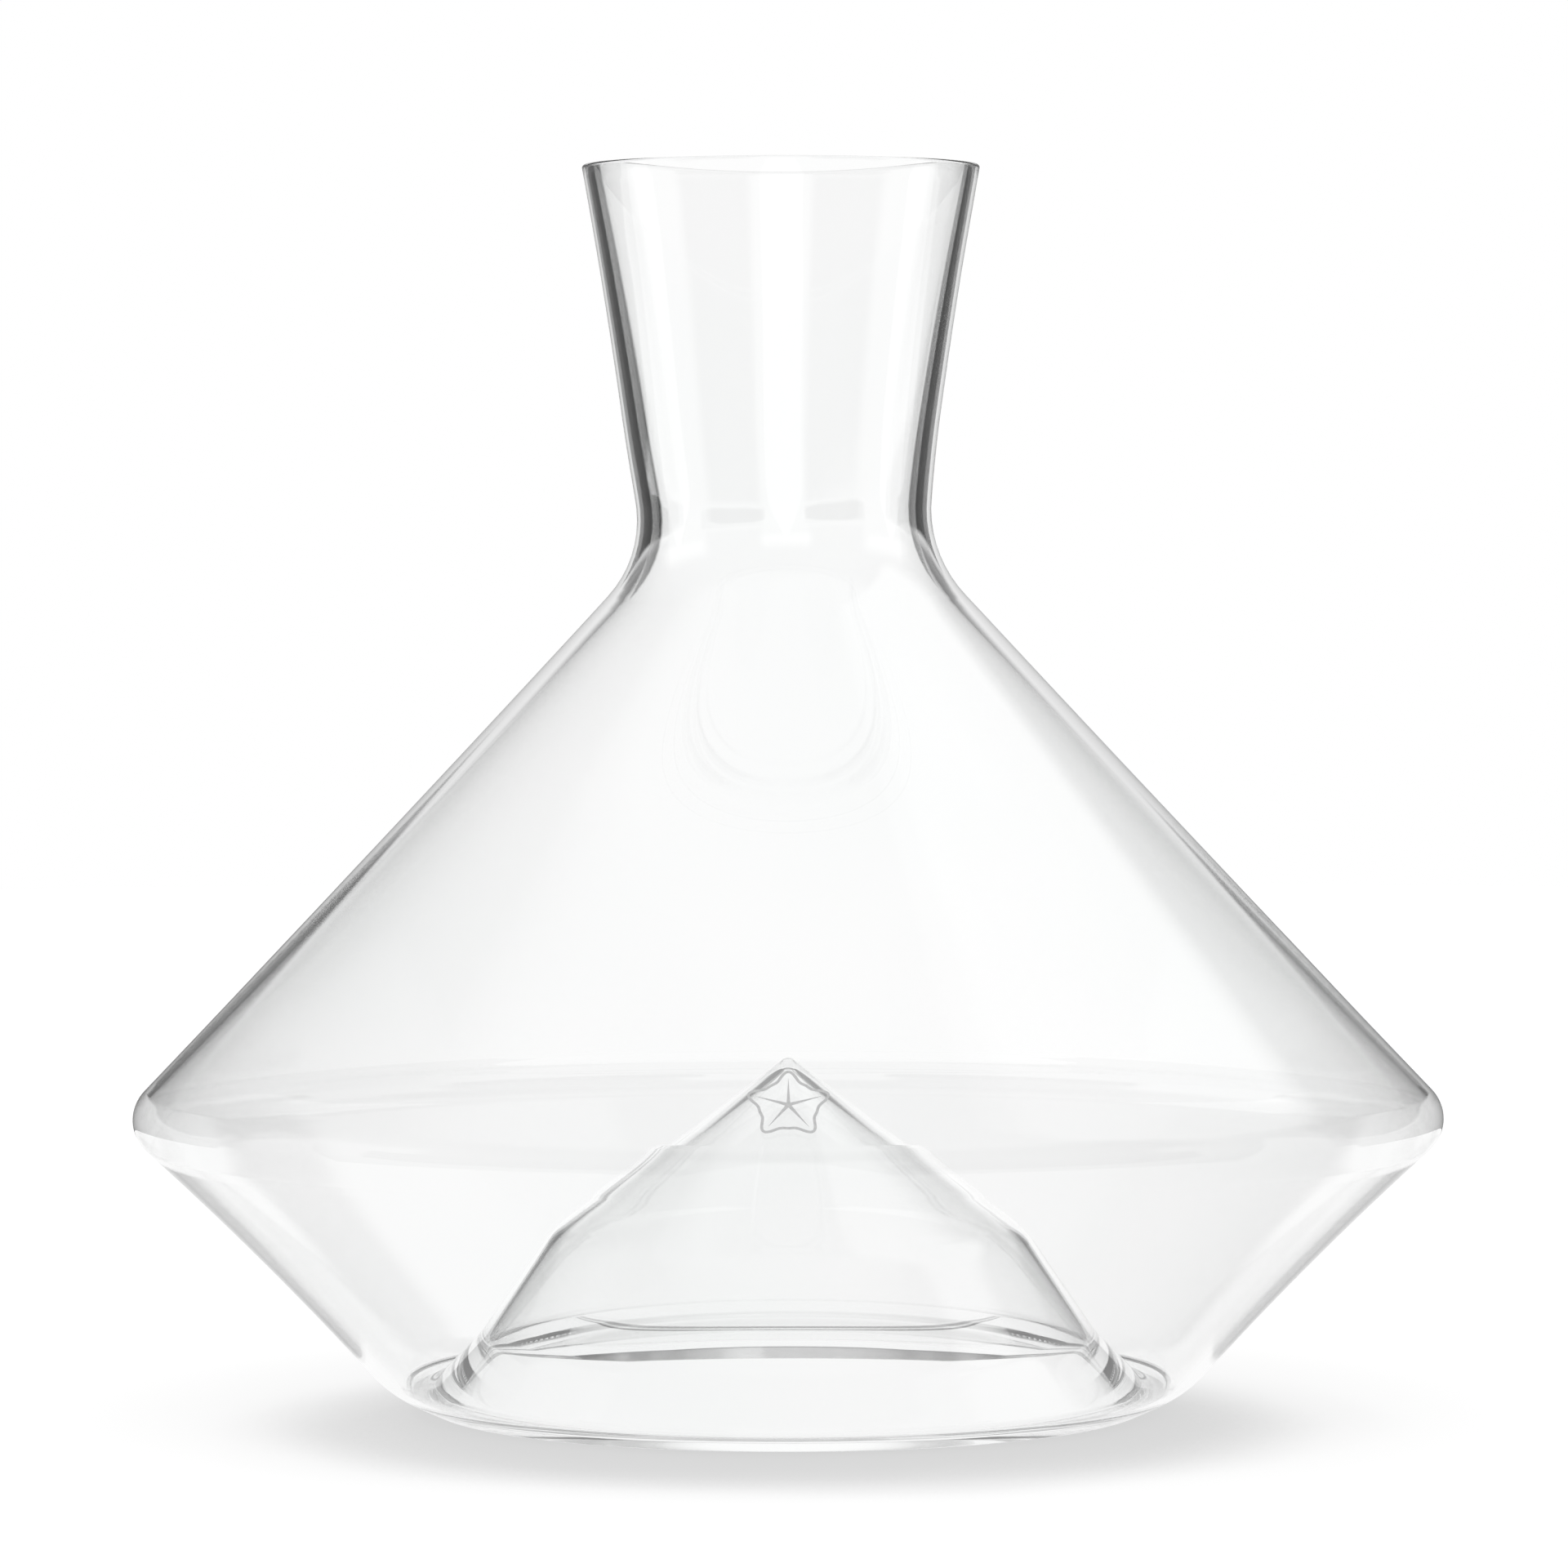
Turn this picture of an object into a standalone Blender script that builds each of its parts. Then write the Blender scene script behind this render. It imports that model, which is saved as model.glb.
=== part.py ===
"""A hand-blown glass wine decanter: a flared neck on a wide double-cone body with a tall punt.

The whole vessel is one piece of glass, turned about +Z, with its origin at the centre of the
ring that it stands on. A small generic leaf is fired on to the front, on the -Y side.
"""

import math

import bmesh
import bpy
from mathutils import Matrix, Vector

MM = 0.001

# Driving dimensions of the outside, in millimetres. Each corner is where two flanks would meet,
# before the corner is rounded.
HEIGHT = 198.0
RIM_RADIUS = 31.6
RIM_BEVEL = 0.3
WAIST_RADIUS, WAIST_HEIGHT, WAIST_ROUNDING = 22.3, 136.2, 18.8
BELLY_RADIUS, BELLY_HEIGHT, BELLY_ROUNDING = 106.6, 46.6, 5.9
HEEL_RADIUS, HEEL_HEIGHT, HEEL_ROUNDING = 63.9, 3.2, 18.0
RING_OUTER_RADIUS, RING_OUTER_ROUNDING = 56.8, 2.4
RING_INNER_RADIUS, RING_INNER_ROUNDING = 54.6, 1.2

# The inner side of the punt: a steep cone with a rounded tip, a knee and a spreading foot.
PUNT_TIP_HEIGHT, PUNT_TIP_ROUNDING = 56.6, 1.6
PUNT_KNEE_RADIUS, PUNT_KNEE_HEIGHT, PUNT_KNEE_ROUNDING = 38.0, 27.8, 14.0
PUNT_ANKLE_RADIUS, PUNT_ANKLE_HEIGHT, PUNT_ANKLE_ROUNDING = 49.4, 11.4, 16.0
FLOOR_RADIUS, FLOOR_HEIGHT, FLOOR_ROUNDING = 58.4, 2.2, 4.0

# Wall thickness at each of those places.
RIM_WALL = 1.8
WAIST_WALL = 2.6
BELLY_WALL = 1.2
HEEL_WALL = 1.7
PUNT_WALL = 1.5
PUNT_TIP_WALL = 2.4

# The inner arc of the belly, chosen so that the wall there doesn't bend the view like a lens.
BELLY_INNER_ROUNDING = 5.35

# How far the middle of each flank is drawn in from a straight line.
NECK_HOLLOW = 0.36
SHOULDER_HOLLOW = 0.24
LOWER_HOLLOW = 0.6

AROUND = 64
FLANK_STEPS = 4
STEPS_PER_RIGHT_ANGLE = 7

# The fired-on leaf, on the front of the upper cone.
LEAF_RADIUS = 5.2
LEAF_LOBES = 5
LEAF_LOBE_DEPTH = 0.17
LEAF_POINTEDNESS = 0.05
LEAF_THICKNESS = 0.3
LEAF_CLEARANCE = 0.3
LEAF_ABOVE_BELLY = 13.4
LEAF_OUTLINE_POINTS = 60


def clear_scene():
    for obj in list(bpy.data.objects):
        bpy.data.objects.remove(obj, do_unlink=True)


def make_collection(name):
    collection = bpy.data.collections.new(name)
    bpy.context.scene.collection.children.link(collection)
    return collection


def make_material(name, colour, roughness, transmission):
    material = bpy.data.materials.new(name)
    material.use_nodes = True
    shader = material.node_tree.nodes["Principled BSDF"]
    shader.inputs["Base Color"].default_value = (*colour, 1.0)
    shader.inputs["Roughness"].default_value = roughness
    shader.inputs["Metallic"].default_value = 0.0
    shader.inputs["IOR"].default_value = 1.5
    shader.inputs["Transmission Weight"].default_value = transmission
    return material


def set_in(before, corner, after, distance):
    """The corner of a line drawn at this distance to the right of the corner's two flanks."""
    arriving = (corner - before).normalized()
    leaving = (after - corner).normalized()
    right = Vector((arriving.y, -arriving.x)) + Vector((leaving.y, -leaving.x))
    right.normalize()
    return corner + right * distance / right.dot(Vector((arriving.y, -arriving.x)))


def rounded(before, corner, after, radius):
    """Points of the arc that rounds a corner, from the flank before it to the flank after it."""
    to_before = (before - corner).normalized()
    to_after = (after - corner).normalized()
    half_angle = to_before.angle(to_after) / 2
    centre = corner + (to_before + to_after).normalized() * radius / math.sin(half_angle)
    start = corner + to_before * radius / math.tan(half_angle) - centre
    turn = math.pi - 2 * half_angle
    if to_before.cross(to_after) > 0:
        turn = -turn
    steps = max(2, round(abs(turn) / (math.pi / 2) * STEPS_PER_RIGHT_ANGLE))
    return [centre + Matrix.Rotation(turn * i / steps, 2) @ start for i in range(steps + 1)]


def hollow_flank(start, end, hollow):
    """Points between two corners of a flank whose middle is drawn towards the axis side."""
    along = end - start
    inward = Vector((along.y, -along.x)).normalized()
    points = []
    for i in range(1, FLANK_STEPS):
        share = i / FLANK_STEPS
        points.append(start + along * share + inward * hollow * 4 * share * (1 - share))
    return points


def outline(corners, hollows):
    """A line through (point, rounding) corners, with the flank after each corner drawn in."""
    points = []
    for i, (corner, radius) in enumerate(corners):
        if 0 < i < len(corners) - 1 and radius:
            arc = rounded(corners[i - 1][0], corner, corners[i + 1][0], radius)
        else:
            arc = [corner]
        if points and hollows.get(i - 1):
            points += hollow_flank(points[-1], arc[0], hollows[i - 1])
        points += arc
    return points


def outer_corners():
    """Corners of the outside, from the rim down to the standing ring."""
    return [
        (Vector((RIM_RADIUS, HEIGHT - RIM_BEVEL)), 0),
        (Vector((WAIST_RADIUS, WAIST_HEIGHT)), WAIST_ROUNDING),
        (Vector((BELLY_RADIUS, BELLY_HEIGHT)), BELLY_ROUNDING),
        (Vector((HEEL_RADIUS, HEEL_HEIGHT)), HEEL_ROUNDING),
        (Vector((RING_OUTER_RADIUS, 0)), RING_OUTER_ROUNDING),
        (Vector((RING_INNER_RADIUS, 0)), RING_INNER_ROUNDING),
    ]


def punt_corners():
    """Corners of the punt's inner side, from its foot up to its tip."""
    return [
        (Vector((FLOOR_RADIUS, FLOOR_HEIGHT)), FLOOR_ROUNDING),
        (Vector((PUNT_ANKLE_RADIUS, PUNT_ANKLE_HEIGHT)), PUNT_ANKLE_ROUNDING),
        (Vector((PUNT_KNEE_RADIUS, PUNT_KNEE_HEIGHT)), PUNT_KNEE_ROUNDING),
        (Vector((0, PUNT_TIP_HEIGHT)), 0),
    ]


def tip_arc(flank_corner, tip, radius):
    """The rounded end of the punt, from its flank to the axis."""
    mirrored = Vector((-flank_corner.x, flank_corner.y))
    arc = rounded(flank_corner, tip, mirrored, radius)
    return arc[: len(arc) // 2] + [Vector((0, (arc[len(arc) // 2]).y))]


def outside_profile():
    """The outside, from the rim down, under the ring and up the hollow of the punt to the axis."""
    corners = outer_corners()
    punt = [point for point, _ in punt_corners()]
    ankle = set_in(punt[0], punt[1], punt[2], -PUNT_WALL)
    knee = set_in(punt[1], punt[2], punt[3], -PUNT_WALL)
    tip = Vector((0, PUNT_TIP_HEIGHT - PUNT_TIP_WALL))
    corners.append((ankle, PUNT_ANKLE_ROUNDING - PUNT_WALL))
    corners.append((knee, PUNT_KNEE_ROUNDING - PUNT_WALL))
    corners.append((tip, 0))
    hollows = {0: NECK_HOLLOW, 1: SHOULDER_HOLLOW, 2: LOWER_HOLLOW}
    line = outline(corners, hollows)[:-1]
    return line + tip_arc(knee, tip, PUNT_TIP_ROUNDING)


def inside_profile():
    """The inside, from the rim down to the floor and up over the punt to the axis."""
    outer = [point for point, _ in outer_corners()]
    waist = set_in(outer[0], outer[1], outer[2], WAIST_WALL)
    belly = set_in(outer[1], outer[2], outer[3], BELLY_WALL)
    heel = set_in(outer[2], outer[3], outer[4], HEEL_WALL)
    corners = [
        (Vector((RIM_RADIUS - RIM_WALL, HEIGHT - RIM_BEVEL)), 0),
        (waist, WAIST_ROUNDING + WAIST_WALL),
        (belly, BELLY_INNER_ROUNDING),
        (heel, HEEL_ROUNDING - HEEL_WALL),
    ]
    corners += punt_corners()
    hollows = {0: NECK_HOLLOW, 1: SHOULDER_HOLLOW, 2: LOWER_HOLLOW}
    line = outline(corners, hollows)[:-1]
    knee = Vector((PUNT_KNEE_RADIUS, PUNT_KNEE_HEIGHT))
    return line + tip_arc(knee, Vector((0, PUNT_TIP_HEIGHT)), PUNT_TIP_ROUNDING)


def rim_profile():
    """The flat polished end of the neck, between its two small bevels."""
    inner_radius = RIM_RADIUS - RIM_WALL
    return [Vector((inner_radius + RIM_BEVEL, HEIGHT)), Vector((RIM_RADIUS - RIM_BEVEL, HEIGHT))]


def turned_object(name, profile, collection, material):
    """The profile, in millimetres in the XZ plane, turned once about +Z."""
    mesh = bpy.data.meshes.new(name)
    vertices = [(point.x * MM, 0, point.y * MM) for point in profile]
    mesh.from_pydata(vertices, [(i, i + 1) for i in range(len(vertices) - 1)], [])
    obj = bpy.data.objects.new(name, mesh)
    collection.objects.link(obj)
    screw = obj.modifiers.new("turn", "SCREW")
    screw.axis = "Z"
    screw.angle = 2 * math.pi
    screw.steps = AROUND
    screw.render_steps = AROUND
    screw.use_merge_vertices = True
    screw.merge_threshold = 0.00001
    screw.use_smooth_shade = True
    mesh.materials.append(material)
    return obj


def make_vessel(collection):
    clear_glass = make_material("clear_glass", (0.96, 0.975, 0.97), 0.01, 1.0)
    profile = inside_profile()[::-1] + rim_profile() + outside_profile()
    return turned_object("glass_vessel", profile, collection, clear_glass)


def leaf_outline():
    """A leaf with five pointed lobes, one of them pointing up the flank."""
    points = []
    for i in range(LEAF_OUTLINE_POINTS):
        angle = 2 * math.pi * i / LEAF_OUTLINE_POINTS
        from_lobe = LEAF_LOBES * (angle - math.pi / 2)
        lobes = LEAF_LOBE_DEPTH * math.cos(from_lobe) + LEAF_POINTEDNESS * math.cos(2 * from_lobe)
        radius = LEAF_RADIUS * (1 + lobes)
        points.append((radius * math.cos(angle), radius * math.sin(angle)))
    return points


def leaf_placement():
    """The leaf's frame: X around the body, Y up the flank, Z out of the glass."""
    waist = Vector((WAIST_RADIUS, WAIST_HEIGHT))
    belly = Vector((BELLY_RADIUS, BELLY_HEIGHT))
    up_flank = (waist - belly).normalized()
    outward = Vector((up_flank.y, -up_flank.x))
    middle = belly + up_flank * LEAF_ABOVE_BELLY
    middle += outward * (LEAF_CLEARANCE + LEAF_THICKNESS / 2)
    up = Vector((0, -up_flank.x, up_flank.y))
    out = Vector((0, -outward.x, outward.y))
    turn = Matrix((Vector((1, 0, 0)), up, out)).transposed().to_4x4()
    return Matrix.Translation(Vector((0, -middle.x, middle.y)) * MM) @ turn


def make_leaf(collection):
    curve = bpy.data.curves.new("fired_leaf_outline", "CURVE")
    curve.dimensions = "2D"
    curve.fill_mode = "BOTH"
    curve.extrude = LEAF_THICKNESS / 2 * MM
    points = leaf_outline()
    spline = curve.splines.new("POLY")
    spline.points.add(len(points) - 1)
    for point, (across, up) in zip(spline.points, points):
        point.co = (across * MM, up * MM, 0, 1)
    spline.use_cyclic_u = True
    drawn = bpy.data.objects.new("leaf_outline", curve)
    collection.objects.link(drawn)
    bpy.context.view_layer.update()
    evaluated = drawn.evaluated_get(bpy.context.evaluated_depsgraph_get())
    mesh = bpy.data.meshes.new_from_object(evaluated)
    bpy.data.objects.remove(drawn, do_unlink=True)
    solid = bmesh.new()
    solid.from_mesh(mesh)
    bmesh.ops.remove_doubles(solid, verts=solid.verts, dist=0.000001)
    bmesh.ops.recalc_face_normals(solid, faces=solid.faces)
    solid.to_mesh(mesh)
    solid.free()
    leaf = bpy.data.objects.new("fired_leaf_mark", mesh)
    collection.objects.link(leaf)
    leaf.matrix_world = leaf_placement()
    mesh.materials.clear()
    mesh.materials.append(make_material("fired_enamel", (0.66, 0.67, 0.67), 0.6, 0.0))
    return leaf


def main():
    clear_scene()
    parts = make_collection("wine_decanter")
    make_vessel(parts)
    make_leaf(parts)


main()
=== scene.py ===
"""Looks for the wine decanter: clear hand-blown glass with a small fired-on leaf.

The vessel is turned again at high resolution from the same corners as the CAD solid, with the
slight unevenness of blown glass. It stands in a white studio, and black cards and grey boards that
only the glass sees give it its dark edges.
"""

import math

import bpy
from mathutils import Matrix, Vector


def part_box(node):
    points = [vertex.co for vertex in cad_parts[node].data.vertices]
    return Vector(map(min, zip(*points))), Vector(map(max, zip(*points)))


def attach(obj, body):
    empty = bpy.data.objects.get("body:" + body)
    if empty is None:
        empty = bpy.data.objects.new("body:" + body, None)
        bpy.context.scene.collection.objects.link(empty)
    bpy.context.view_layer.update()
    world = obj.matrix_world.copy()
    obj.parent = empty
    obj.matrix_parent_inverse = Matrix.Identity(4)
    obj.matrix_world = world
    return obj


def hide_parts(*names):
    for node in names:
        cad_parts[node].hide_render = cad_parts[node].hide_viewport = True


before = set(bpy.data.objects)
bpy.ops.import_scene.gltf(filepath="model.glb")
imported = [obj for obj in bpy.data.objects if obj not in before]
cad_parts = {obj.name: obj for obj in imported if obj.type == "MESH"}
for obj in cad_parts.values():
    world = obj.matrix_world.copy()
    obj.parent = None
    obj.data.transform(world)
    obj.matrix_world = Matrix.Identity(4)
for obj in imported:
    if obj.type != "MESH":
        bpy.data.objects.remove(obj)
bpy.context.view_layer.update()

# One millimetre of the drawing below, in metres, so that the rim is at the top of the CAD box.
HEIGHT = 198.0
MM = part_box("glass_vessel")[1].z / HEIGHT

# Corners of the outside in millimetres, as (radius, height, rounding).
RIM_RADIUS = 31.6
RIM_ROUNDING = 0.5
WAIST = (22.3, 136.2, 18.8)
BELLY = (106.6, 46.6, 5.9)
BELLY_INNER_ROUNDING = 5.35
HEEL = (63.9, 3.2, 18.0)
RING_OUTER = (56.8, 0.0, 2.4)
RING_INNER = (54.6, 0.0, 1.2)

# The inner side of the punt.
PUNT_TIP_HEIGHT, PUNT_TIP_ROUNDING = 56.6, 1.6
PUNT_KNEE = (38.0, 27.8, 14.0)
PUNT_ANKLE = (49.4, 11.4, 16.0)
FLOOR = (58.4, 2.2, 4.0)

# Wall thickness at each place, and how far the middle of each flank is drawn in.
RIM_WALL, WAIST_WALL, BELLY_WALL, HEEL_WALL = 1.8, 2.6, 1.2, 1.7
PUNT_WALL, PUNT_TIP_WALL = 1.5, 2.4
NECK_HOLLOW, SHOULDER_HOLLOW, LOWER_HOLLOW = 0.36, 0.24, 0.6

# The unevenness of blown glass: the neck leans a little, and the wall swells and thins. The swell
# grows over the first pair of heights and dies away over the second, from its upper end down.
LEAN = 0.95
LEAN_FROM, LEAN_TO = 126.0, 158.0
SWELL = 0.07
SWELL_INSIDE = 0.02
SWELL_TWIST = 58.0
SWELL_FROM = (60.0, 76.0)
SWELL_TO = (192.0, 180.0)

# The fired-on leaf, drawn as an outline with veins.
LEAF_RADIUS = 5.2
LEAF_LOBES = 5
LEAF_LOBE_DEPTH = 0.17
LEAF_POINTEDNESS = 0.05
LEAF_ABOVE_BELLY = 13.4
LEAF_LINE = 0.42
LEAF_VEIN_WAIST = 1.1 * LEAF_LINE
LEAF_VEIN_GAP = 3.2 * LEAF_LINE
LEAF_THICKNESS = 0.05
LEAF_GAP = 0.02
LEAF_OUTLINE_POINTS = 180

# How finely the glass is turned.
AROUND = 256
FLANK_SPACING = 2.4
STEPS_PER_RIGHT_ANGLE = 16
FEWEST_STEPS = 4


def set_in(before, corner, after, distance):
    """The corner of a line drawn at this distance to the right of the corner's two flanks."""
    arriving = (corner - before).normalized()
    leaving = (after - corner).normalized()
    right = Vector((arriving.y, -arriving.x)) + Vector((leaving.y, -leaving.x))
    right.normalize()
    return corner + right * distance / right.dot(Vector((arriving.y, -arriving.x)))


def rounded(before, corner, after, radius):
    """Points of the arc that rounds a corner, from the flank before it to the flank after it."""
    to_before = (before - corner).normalized()
    to_after = (after - corner).normalized()
    half_angle = to_before.angle(to_after) / 2
    centre = corner + (to_before + to_after).normalized() * radius / math.sin(half_angle)
    start = corner + to_before * radius / math.tan(half_angle) - centre
    turn = math.pi - 2 * half_angle
    if to_before.cross(to_after) > 0:
        turn = -turn
    steps = max(FEWEST_STEPS, round(abs(turn) / (math.pi / 2) * STEPS_PER_RIGHT_ANGLE))
    return [centre + Matrix.Rotation(turn * i / steps, 2) @ start for i in range(steps + 1)]


def flank(start, end, hollow):
    """Points between two corners of a flank whose middle is drawn towards the axis side."""
    along = end - start
    inward = Vector((along.y, -along.x)).normalized()
    steps = max(1, round(along.length / FLANK_SPACING))
    shares = [i / steps for i in range(1, steps)]
    return [start + along * s + inward * hollow * 4 * s * (1 - s) for s in shares]


def outline(corners, hollows):
    """A line through (point, rounding) corners, with the flank after each corner drawn in."""
    points = []
    for i, (corner, radius) in enumerate(corners):
        if 0 < i < len(corners) - 1 and radius:
            arc = rounded(corners[i - 1][0], corner, corners[i + 1][0], radius)
        else:
            arc = [corner]
        if points:
            points += flank(points[-1], arc[0], hollows.get(i - 1, 0))
        points += arc
    return points


def corner(place):
    return Vector(place[:2]), place[2]


def outer_corners():
    """Corners of the outside, from the rim down to the standing ring."""
    rim = (Vector((RIM_RADIUS, HEIGHT - RIM_ROUNDING)), 0)
    return [rim] + [corner(place) for place in (WAIST, BELLY, HEEL, RING_OUTER, RING_INNER)]


def punt_corners():
    """Corners of the punt's inner side, from its foot up to its tip."""
    tip = (Vector((0, PUNT_TIP_HEIGHT)), 0)
    return [corner(place) for place in (FLOOR, PUNT_ANKLE, PUNT_KNEE)] + [tip]


def tip_arc(flank_corner, tip, radius):
    """The rounded end of the punt, from its flank to the axis."""
    mirrored = Vector((-flank_corner.x, flank_corner.y))
    arc = rounded(flank_corner, tip, mirrored, radius)
    return arc[: len(arc) // 2] + [Vector((0, arc[len(arc) // 2].y))]


def outside_profile():
    """The outside, from the rim down, under the ring and up the hollow of the punt to the axis."""
    corners = outer_corners()
    punt = [point for point, _ in punt_corners()]
    ankle = set_in(punt[0], punt[1], punt[2], -PUNT_WALL)
    knee = set_in(punt[1], punt[2], punt[3], -PUNT_WALL)
    tip = Vector((0, PUNT_TIP_HEIGHT - PUNT_TIP_WALL))
    corners.append((ankle, PUNT_ANKLE[2] - PUNT_WALL))
    corners.append((knee, PUNT_KNEE[2] - PUNT_WALL))
    arc = tip_arc(knee, tip, PUNT_TIP_ROUNDING)
    corners.append((arc[0], 0))
    return outline(corners, {0: NECK_HOLLOW, 1: SHOULDER_HOLLOW, 2: LOWER_HOLLOW}) + arc[1:]


def inside_profile():
    """The inside, from the rim down to the floor and up over the punt to the axis."""
    outer = [point for point, _ in outer_corners()]
    waist = set_in(outer[0], outer[1], outer[2], WAIST_WALL)
    belly = set_in(outer[1], outer[2], outer[3], BELLY_WALL)
    heel = set_in(outer[2], outer[3], outer[4], HEEL_WALL)
    corners = [
        (Vector((RIM_RADIUS - RIM_WALL, HEIGHT - RIM_ROUNDING)), 0),
        (waist, WAIST[2] + WAIST_WALL),
        (belly, BELLY_INNER_ROUNDING),
        (heel, HEEL[2] - HEEL_WALL),
    ]
    corners += punt_corners()[:-1]
    arc = tip_arc(corners[-1][0], Vector((0, PUNT_TIP_HEIGHT)), PUNT_TIP_ROUNDING)
    corners.append((arc[0], 0))
    return outline(corners, {0: NECK_HOLLOW, 1: SHOULDER_HOLLOW, 2: LOWER_HOLLOW}) + arc[1:]


def turned_mesh(name, profile, places):
    """A closed mesh turned about +Z from a profile that starts and ends on the axis."""
    vertices = [(0, 0, profile[0].y * MM)]
    for point, inside in zip(profile[1:-1], places[1:-1]):
        for step in range(AROUND):
            angle = 2 * math.pi * step / AROUND
            vertices.append(blown(point, angle, inside))
    vertices.append((0, 0, profile[-1].y * MM))
    last = len(vertices) - 1
    rings = len(profile) - 2
    faces = []
    for step in range(AROUND):
        after = (step + 1) % AROUND
        faces.append((0, 1 + step, 1 + after))
        for ring in range(rings - 1):
            low = 1 + ring * AROUND
            high = low + AROUND
            faces.append((low + step, high + step, high + after, low + after))
        end = 1 + (rings - 1) * AROUND
        faces.append((last, end + after, end + step))
    mesh = bpy.data.meshes.new(name)
    mesh.from_pydata(vertices, [], faces)
    mesh.shade_smooth()
    return mesh


def eased(value, start, end):
    share = min(1.0, max(0.0, (value - start) / (end - start)))
    return share * share * (3 - 2 * share)


def blown(point, angle, inside):
    """Where a point of the profile lies once it is turned by this angle, in metres."""
    share = eased(point.y, *SWELL_FROM) * eased(point.y, *SWELL_TO)
    twist = point.y / SWELL_TWIST
    swell = SWELL * (math.sin(2 * angle + twist + 0.6) + 0.5 * math.sin(3 * angle - twist + 2.1))
    if inside:
        swell += SWELL_INSIDE * math.sin(angle + 2 * twist)
    reach = (point.x + swell * share) * REACH
    lean = -LEAN * eased(point.y, LEAN_FROM, LEAN_TO)
    return Vector((reach * math.cos(angle) + lean * MM, reach * math.sin(angle), point.y * MM))


def new_object(name, mesh):
    obj = bpy.data.objects.new(name, mesh)
    bpy.context.scene.collection.objects.link(obj)
    return obj


def make_vessel():
    edges = [Vector((RIM_RADIUS - RIM_WALL, HEIGHT)), Vector((RIM_RADIUS, HEIGHT))]
    below = Vector((0, -HEIGHT))
    rim = rounded(edges[0] + below, edges[0], edges[1], RIM_ROUNDING)[1:]
    rim += rounded(edges[0], edges[1], edges[1] + below, RIM_ROUNDING)[:-1]
    inside, outside = inside_profile()[::-1], outside_profile()
    places = [True] * len(inside) + [False] * (len(rim) + len(outside))
    vessel = new_object("decanter_glass", turned_mesh("decanter_glass", inside + rim + outside, places))
    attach(vessel, "root")
    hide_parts("glass_vessel")
    return vessel


def leaf_radius(angle):
    from_lobe = LEAF_LOBES * (angle - math.pi / 2)
    lobes = LEAF_LOBE_DEPTH * math.cos(from_lobe) + LEAF_POINTEDNESS * math.cos(2 * from_lobe)
    return LEAF_RADIUS * (1 + lobes)


def leaf_loops():
    """The leaf's lines as pairs of loops, an outer one and an inner one, in its own plane."""
    angles = [2 * math.pi * i / LEAF_OUTLINE_POINTS for i in range(LEAF_OUTLINE_POINTS)]
    edge = [Vector((math.cos(a), math.sin(a))) * leaf_radius(a) for a in angles]
    within = []
    for i, point in enumerate(edge):
        along = (edge[(i + 1) % len(edge)] - edge[i - 1]).normalized()
        within.append(point + Vector((-along.y, along.x)) * LEAF_LINE)
    veins = []
    for i in range(2 * LEAF_LOBES):
        angle = math.pi / 2 + math.pi * i / LEAF_LOBES
        reach = LEAF_VEIN_WAIST if i % 2 else leaf_radius(angle) - LEAF_VEIN_GAP
        veins.append(Vector((math.cos(angle), math.sin(angle))) * reach)
    return [(edge, within), (veins, None)]


def flank_radius(line, height):
    """The radius of the upper cone at this height, read off the outside profile."""
    for above, below in zip(line, line[1:]):
        if above.y >= height >= below.y and above.y > below.y:
            return below.x + (above.x - below.x) * (height - below.y) / (above.y - below.y)
    raise ValueError("the leaf is off the flank")


def on_flank(line, place, lift):
    """A point of the leaf's plane laid on the front of the upper cone, this far off the glass."""
    up_flank = (Vector(WAIST[:2]) - Vector(BELLY[:2])).normalized()
    height = BELLY[1] + up_flank.y * (LEAF_ABOVE_BELLY + place.y)
    radius = flank_radius(line, height)
    angle = place.x / radius - math.pi / 2
    glass = blown(Vector((radius, height)), angle, False)
    outward = Vector((up_flank.y * math.cos(angle), up_flank.y * math.sin(angle), -up_flank.x))
    return glass + outward * lift * MM


def make_leaf():
    line = outside_profile()
    vertices = []
    faces = []
    for outer, inner in leaf_loops():
        count = len(outer)
        first = len(vertices)
        for lift in (LEAF_GAP, LEAF_GAP + LEAF_THICKNESS):
            vertices += [on_flank(line, place, lift) for place in outer]
            vertices += [on_flank(line, place, lift) for place in inner or [Vector((0, 0))]]
        level = (len(vertices) - first) // 2
        for i in range(count):
            j = (i + 1) % count
            low, low_next = first + i, first + j
            faces.append((low, low_next, low_next + level, low + level))
            if inner:
                faces.append((low, low + count, low_next + count, low_next))
                faces.append((low + level, low_next + level, low_next + level + count, low + level + count))
                faces.append((low + count, low + level + count, low_next + level + count, low_next + count))
            else:
                middle = first + count
                faces.append((low_next, low, middle))
                faces.append((low + level, low_next + level, middle + level))
    mesh = bpy.data.meshes.new("fired_leaf")
    mesh.from_pydata(vertices, [], faces)
    leaf = new_object("fired_leaf", mesh)
    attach(leaf, "root")
    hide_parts("fired_leaf_mark")
    return leaf


def node(tree, kind, **values):
    made = tree.nodes.new(kind)
    for key, value in values.items():
        setattr(made, key, value)
    return made


def feed(tree, value, socket):
    """Sets a socket to a number, or links it to another node's output."""
    if hasattr(value, "links"):
        tree.links.new(value, socket)
    else:
        socket.default_value = value


def maths(tree, operation, first, second):
    made = node(tree, "ShaderNodeMath", operation=operation)
    feed(tree, first, made.inputs[0])
    feed(tree, second, made.inputs[1])
    return made.outputs[0]


def multiply(tree, *values):
    result = values[0]
    for value in values[1:]:
        result = maths(tree, "MULTIPLY", result, value)
    return result


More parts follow.
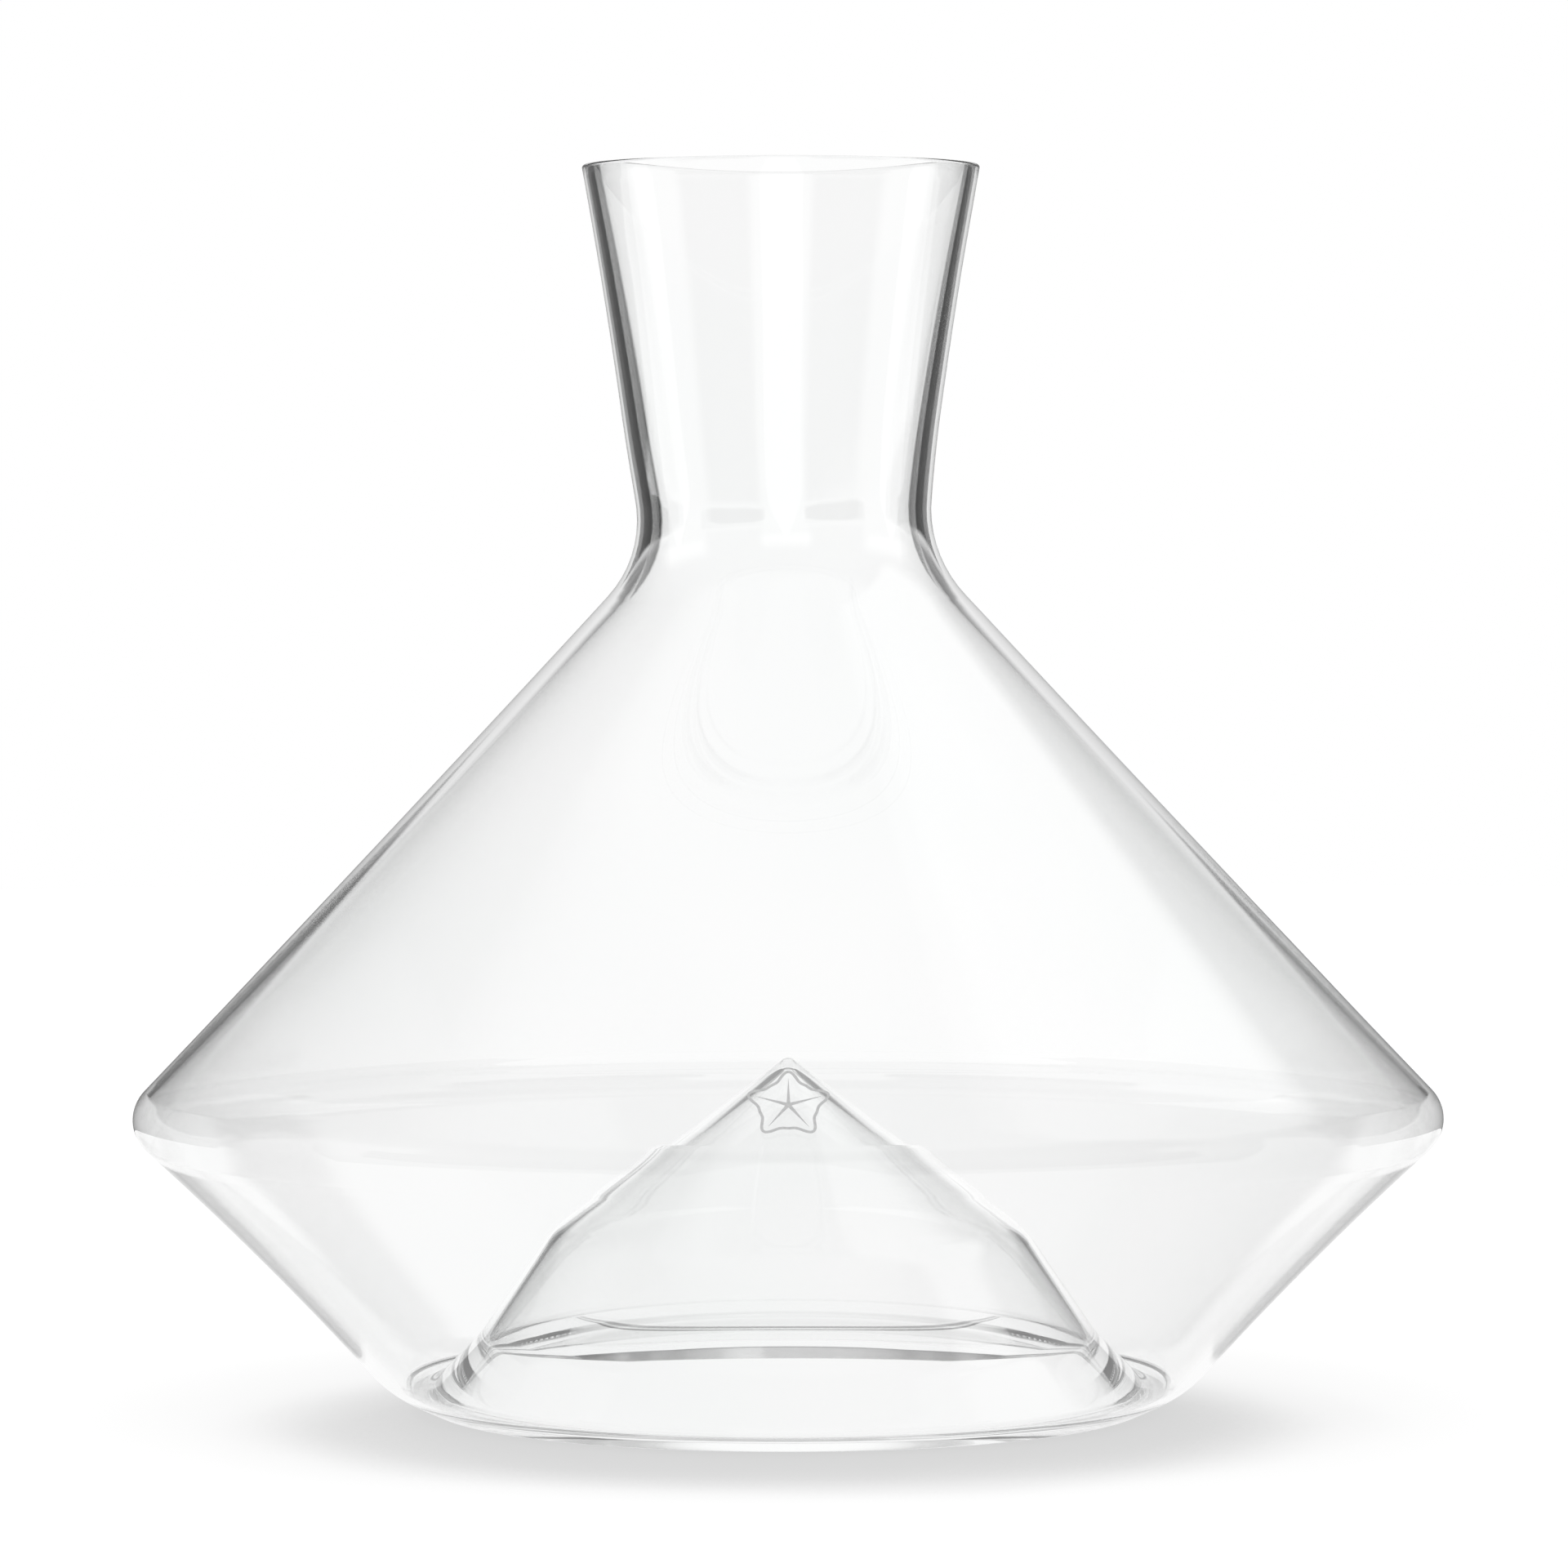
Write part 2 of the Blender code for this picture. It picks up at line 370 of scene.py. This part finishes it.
def smooth(tree, value, start, end, low=0.0, high=1.0):
    made = node(tree, "ShaderNodeMapRange", interpolation_type="SMOOTHSTEP")
    tree.links.new(value, made.inputs["Value"])
    made.inputs["From Min"].default_value = start
    made.inputs["From Max"].default_value = end
    made.inputs["To Min"].default_value = low
    made.inputs["To Max"].default_value = high
    return made.outputs[0]


def faded(tree, turned, ends):
    """A mask that rises from 0 to 1 between two angles, given in degrees."""
    return smooth(tree, turned, *[math.radians(end) for end in ends])


def from_quarter(tree, azimuth):
    """How far a direction is turned from the nearest of the four sides, in radians."""
    return maths(tree, "PINGPONG", maths(tree, "ADD", azimuth, math.radians(360)), math.radians(45))


def new_material(name):
    material = bpy.data.materials.new(name)
    material.use_nodes = True
    return material, material.node_tree, material.node_tree.nodes["Principled BSDF"]


def noise_node(tree, scale, detail):
    where = node(tree, "ShaderNodeTexCoord").outputs["Object"]
    made = node(tree, "ShaderNodeTexNoise")
    tree.links.new(where, made.inputs["Vector"])
    made.inputs["Scale"].default_value = scale
    made.inputs["Detail"].default_value = detail
    return made.outputs["Fac"]


# Where a pattern has its first tone and where its second.
TONE_STOPS = 0.35, 0.65


def two_tone(tree, factor, first, second):
    ramp = node(tree, "ShaderNodeValToRGB")
    tree.links.new(factor, ramp.inputs[0])
    for stop, place, tone in zip(ramp.color_ramp.elements, TONE_STOPS, (first, second)):
        stop.position = place
        stop.color = (*tone, 1)
    return ramp.outputs[0]


# The looks of glass and enamel: patterns are (scale, detail), and the ripple is in metres.
GLASS_IOR = 1.5
GLASS_TINTS = (0.988, 0.994, 0.992), (1.0, 1.0, 1.0)
GLASS_TINT_PATTERN = (18, 1)
GLASS_RIPPLE = 0.00002
GLASS_RIPPLE_PATTERN = (26, 0)
ENAMEL_ROUGHNESS = 0.6
ENAMEL_TONES = (0.72, 0.73, 0.73), (0.82, 0.82, 0.82)
ENAMEL_PATTERN = (2500, 2)


def glass_material():
    material, tree, shader = new_material("clear_blown_glass")
    shader.inputs["Roughness"].default_value = 0.0
    shader.inputs["IOR"].default_value = GLASS_IOR
    shader.inputs["Transmission Weight"].default_value = 1.0
    tint = two_tone(tree, noise_node(tree, *GLASS_TINT_PATTERN), *GLASS_TINTS)
    tree.links.new(tint, shader.inputs["Base Color"])
    bump = node(tree, "ShaderNodeBump")
    bump.inputs["Strength"].default_value = 1.0
    bump.inputs["Distance"].default_value = GLASS_RIPPLE
    tree.links.new(noise_node(tree, *GLASS_RIPPLE_PATTERN), bump.inputs["Height"])
    tree.links.new(bump.outputs[0], shader.inputs["Normal"])
    return material


def enamel_material():
    material, tree, shader = new_material("fired_grey_enamel")
    shader.inputs["Roughness"].default_value = ENAMEL_ROUGHNESS
    tone = two_tone(tree, noise_node(tree, *ENAMEL_PATTERN), *ENAMEL_TONES)
    tree.links.new(tone, shader.inputs["Base Color"])
    return material


# The studio, as light levels where 1 is a surface that prints pure white. A pair of degrees says
# where a light fades: at its first it is out, and at its second it is at its full level. BESIDE is
# measured from the nearest of the four sides, AROUND from +Y towards +X, and UP from the horizon.
BACKDROP_LEVEL = 1.02
BACKDROP_BESIDE, BACKDROP_UP = (24, 17), (34, 22)
BELOW_UP = (-1, -3)
SIDE_LEVEL = 0.25
RIGHT_BOX_LEVEL = 0.92
RIGHT_BOX_AROUND = (33, 42), (100, 85)
RIGHT_BOX_UP = (29, 38), (80, 72)
CEILING_LEVEL = 0.62
CEILING_UP = (42, 66)
LOW_LEVEL = 0.85
LOW_UP = (15, 7)
AMBIENT_LEVEL = 0.62
ROUND_STEPS = 96

# A disc that lights the glass from just under its foot.
TABLE_LEVEL = 0.97
TABLE_RADIUS = 0.9
TABLE_HEIGHT = -0.0001

# The floor glows evenly, and the glow is dimmed where the decanter stands close above it: a painted
# shadow from ambient occlusion, leaned as if lit from behind. Its diffuse part also takes a real shadow.
STUDIO_FLOOR_RADIUS = 1.6
STUDIO_FLOOR_HEIGHT = -0.0002
FLOOR_COLOUR = (0.31, 0.31, 0.31, 1)
FLOOR_GLOW = 0.87
# The painted shadow: how far its occlusion looks, how dark it gets, the occlusion shares it fades over, and
# its rays.
PAINTED_SHADOW_DISTANCE = 0.07
PAINTED_SHADOW_LEVEL = 0.735
PAINTED_SHADOW_SHARES = (0.268, 0.455)
PAINTED_SHADOW_SAMPLES = 16
# How far the painted shadow leans towards +Y, so it falls to the front as from a lamp behind; no lamp
# stands there.
PAINTED_SHADOW_LEAN = 0.5

# Rings of boards round the decanter, with a gap on each of its four sides. Gaps and the turn are in
# degrees and places in metres; a pair says where a board starts to show and where it is solid. The
# slant is in metres for each radian beside, and the lean in radians for each metre of height.
BOARD_STEPS = 192
CARD_DISTANCE = 0.70
CARD_LEVEL = 0.04
CARD_GAP = (17.0, 19.5)
CARD_LOWEST = (0.045, 0.060)
CARD_BOTTOM = (0.145, 0.165)
CARD_TOP = (0.245, 0.215)
CARD_SLANT = 0.2
CARD_TURN = -1.5
# The grey boards go from the first level to the second over their rise.
REFLECTED_DISTANCE = 0.45
REFLECTED_LEVELS = (0.10, 0.30)
REFLECTED_RISE = (0.05, 0.12)
REFLECTED_TOP = (0.30, 0.25)
REFLECTED_GAP = (15.0, 16.5)
REFLECTED_LEAN = 0.85


def make_world():
    world = bpy.data.worlds.new("studio")
    bpy.context.scene.world = world
    world.use_nodes = True
    tree = world.node_tree
    tree.nodes.clear()
    direction = node(tree, "ShaderNodeTexCoord").outputs["Generated"]
    split = node(tree, "ShaderNodeSeparateXYZ")
    tree.links.new(direction, split.inputs[0])
    azimuth = maths(tree, "ARCTAN2", split.outputs["X"], split.outputs["Y"])
    aside = from_quarter(tree, azimuth)

    def rise(ends):
        return smooth(tree, split.outputs["Z"], *[math.sin(math.radians(end)) for end in ends])

    def brightest(first, second):
        return maths(tree, "MAXIMUM", first, second)

    walls = multiply(tree, faded(tree, aside, BACKDROP_BESIDE), rise(BACKDROP_UP))
    backdrop = multiply(tree, brightest(walls, rise(BELOW_UP)), BACKDROP_LEVEL - SIDE_LEVEL)
    right_box = multiply(
        tree,
        *[faded(tree, azimuth, ends) for ends in RIGHT_BOX_AROUND],
        *[rise(ends) for ends in RIGHT_BOX_UP],
        RIGHT_BOX_LEVEL,
    )
    ceiling = multiply(tree, rise(CEILING_UP), CEILING_LEVEL)
    reflected = brightest(brightest(maths(tree, "ADD", SIDE_LEVEL, backdrop), right_box), ceiling)
    through = brightest(reflected, multiply(tree, rise(LOW_UP), LOW_LEVEL))
    path = node(tree, "ShaderNodeLightPath")

    def shown(strength):
        background = node(tree, "ShaderNodeBackground")
        background.inputs["Color"].default_value = (1, 1, 1, 1)
        feed(tree, strength, background.inputs["Strength"])
        return background.outputs[0]

    result = shown(reflected)
    others = ("Is Transmission Ray", through), ("Is Diffuse Ray", AMBIENT_LEVEL), ("Is Camera Ray", 1.0)
    for ray, other in others:
        mix = node(tree, "ShaderNodeMixShader")
        tree.links.new(path.outputs[ray], mix.inputs[0])
        tree.links.new(result, mix.inputs[1])
        tree.links.new(shown(other), mix.inputs[2])
        result = mix.outputs[0]
    tree.links.new(result, node(tree, "ShaderNodeOutputWorld").inputs[0])


def circle(radius, height, steps):
    angles = [2 * math.pi * i / steps for i in range(steps)]
    return [(radius * math.cos(a), radius * math.sin(a), height) for a in angles]


def disc(name, radius, height):
    mesh = bpy.data.meshes.new(name)
    mesh.from_pydata(circle(radius, height, ROUND_STEPS), [], [tuple(range(ROUND_STEPS))])
    obj = new_object(name, mesh)
    return obj


def make_floor():
    floor = disc("studio_floor", STUDIO_FLOOR_RADIUS, STUDIO_FLOOR_HEIGHT)
    material, tree, shader = new_material("white_floor")
    shader.inputs["Base Color"].default_value = FLOOR_COLOUR
    shader.inputs["Roughness"].default_value = 1.0
    shader.inputs["Specular IOR Level"].default_value = 0.0
    shader.inputs["Emission Color"].default_value = (1, 1, 1, 1)
    # Painted shadow: the glow is dimmed by ambient occlusion where the decanter stands close above the
    # floor.
    painted_shadow_occlusion = node(tree, "ShaderNodeAmbientOcclusion", samples=PAINTED_SHADOW_SAMPLES)
    painted_shadow_occlusion.inputs["Distance"].default_value = PAINTED_SHADOW_DISTANCE
    # The lamp here is only the direction the painted shadow leans to, not a light.
    lamp = node(tree, "ShaderNodeCombineXYZ")
    lamp.inputs["Y"].default_value = PAINTED_SHADOW_LEAN
    lamp.inputs["Z"].default_value = 1.0
    tree.links.new(lamp.outputs[0], painted_shadow_occlusion.inputs["Normal"])
    glow_with_painted_shadow = smooth(tree, painted_shadow_occlusion.outputs["AO"], *PAINTED_SHADOW_SHARES, PAINTED_SHADOW_LEVEL * FLOOR_GLOW, FLOOR_GLOW)
    tree.links.new(glow_with_painted_shadow, shader.inputs["Emission Strength"])
    floor.data.materials.append(material)
    floor.visible_transmission = False
    floor.visible_glossy = False


def make_light_table():
    table = disc("light_table", TABLE_RADIUS, TABLE_HEIGHT)
    material, tree, shader = new_material("light_table")
    tree.nodes.remove(shader)
    lamp = node(tree, "ShaderNodeEmission")
    lamp.inputs["Strength"].default_value = TABLE_LEVEL
    tree.links.new(lamp.outputs[0], tree.nodes["Material Output"].inputs[0])
    table.data.materials.append(material)
    table.visible_camera = False
    table.visible_diffuse = False
    table.visible_shadow = False


def make_boards(name, distance, low, high, turned, paint):
    """A ring of boards that only the glass sees; paint gives each one's level and mask."""
    mesh = bpy.data.meshes.new(name)
    vertices = circle(distance, low, BOARD_STEPS) + circle(distance, high, BOARD_STEPS)
    pairs = [(i, (i + 1) % BOARD_STEPS) for i in range(BOARD_STEPS)]
    mesh.from_pydata(vertices, [], [(i, j, j + BOARD_STEPS, i + BOARD_STEPS) for i, j in pairs])
    boards = new_object(name, mesh)
    material, tree, shader = new_material(name)
    tree.nodes.remove(shader)
    split = node(tree, "ShaderNodeSeparateXYZ")
    tree.links.new(node(tree, "ShaderNodeTexCoord").outputs["Object"], split.inputs[0])
    azimuth = maths(tree, "ARCTAN2", split.outputs["X"], split.outputs["Y"])
    aside = from_quarter(tree, maths(tree, "ADD", azimuth, math.radians(turned)))
    result = node(tree, "ShaderNodeBsdfTransparent").outputs[0]
    for level, mask in paint(tree, aside, split.outputs["Z"]):
        board = node(tree, "ShaderNodeEmission")
        feed(tree, level, board.inputs["Strength"])
        mix = node(tree, "ShaderNodeMixShader")
        tree.links.new(mask, mix.inputs[0])
        tree.links.new(result, mix.inputs[1])
        tree.links.new(board.outputs[0], mix.inputs[2])
        result = mix.outputs[0]
    tree.links.new(result, tree.nodes["Material Output"].inputs[0])
    boards.data.materials.append(material)
    boards.visible_camera = False
    boards.visible_diffuse = False
    boards.visible_shadow = False
    return boards


def card_paint(tree, aside, height):
    slanted = maths(tree, "ADD", height, maths(tree, "MULTIPLY", aside, CARD_SLANT))
    mask = multiply(
        tree,
        faded(tree, aside, CARD_GAP),
        smooth(tree, slanted, *CARD_BOTTOM),
        smooth(tree, height, *CARD_LOWEST),
        smooth(tree, height, *CARD_TOP),
    )
    return [(CARD_LEVEL, mask)]


def reflected_paint(tree, aside, height):
    leaning = maths(tree, "ADD", aside, maths(tree, "MULTIPLY", height, REFLECTED_LEAN))
    mask = multiply(tree, faded(tree, leaning, REFLECTED_GAP), smooth(tree, height, *REFLECTED_TOP))
    return [(smooth(tree, height, *REFLECTED_RISE, *REFLECTED_LEVELS), mask)]


def make_studio_boards():
    cards = make_boards("black_cards", CARD_DISTANCE, CARD_LOWEST[0], CARD_TOP[0], CARD_TURN, card_paint)
    cards.visible_glossy = False
    reflected = make_boards("grey_boards", REFLECTED_DISTANCE, 0.0, REFLECTED_TOP[0], 0.0, reflected_paint)
    reflected.visible_transmission = False


VIEW_DISTANCE = 1.130
EYE_HEIGHT = 0.1426
EYE_ACROSS = -0.00058
VIEW_PITCH = math.radians(2.183)
VIEW_ROLL = math.radians(0.08)
LENS = 162.8
SENSOR = 36.0


def make_camera():
    data = bpy.data.cameras.new("camera")
    data.lens = LENS
    data.sensor_width = SENSOR
    camera = new_object("camera", data)
    place = Matrix.Translation((EYE_ACROSS, -VIEW_DISTANCE, EYE_HEIGHT))
    aim = Matrix.Rotation(math.pi / 2 - VIEW_PITCH, 4, "X")
    camera.matrix_world = place @ aim @ Matrix.Rotation(-VIEW_ROLL, 4, "Z")
    bpy.context.scene.camera = camera


# Light is caught between the two faces of the glass and bounces there many times.
BOUNCES = 64
BOARD_CROSSINGS = 32


def set_light_paths():
    scene = bpy.context.scene
    scene.view_settings.view_transform = "Standard"
    scene.cycles.max_bounces = BOUNCES
    scene.cycles.transmission_bounces = BOUNCES
    scene.cycles.glossy_bounces = BOUNCES
    scene.cycles.transparent_max_bounces = BOARD_CROSSINGS
    scene.cycles.caustics_refractive = False
    scene.cycles.use_denoising = True


# Metres of radius for a millimetre of the drawing, so that the belly just fills the CAD box.
WIDEST = max(point.x for point in outside_profile())
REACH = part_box("glass_vessel")[1].x / WIDEST

vessel = make_vessel()
vessel.data.materials.append(glass_material())
leaf = make_leaf()
leaf.data.materials.append(enamel_material())
make_floor()
make_light_table()
make_studio_boards()
make_world()
make_camera()
set_light_paths()
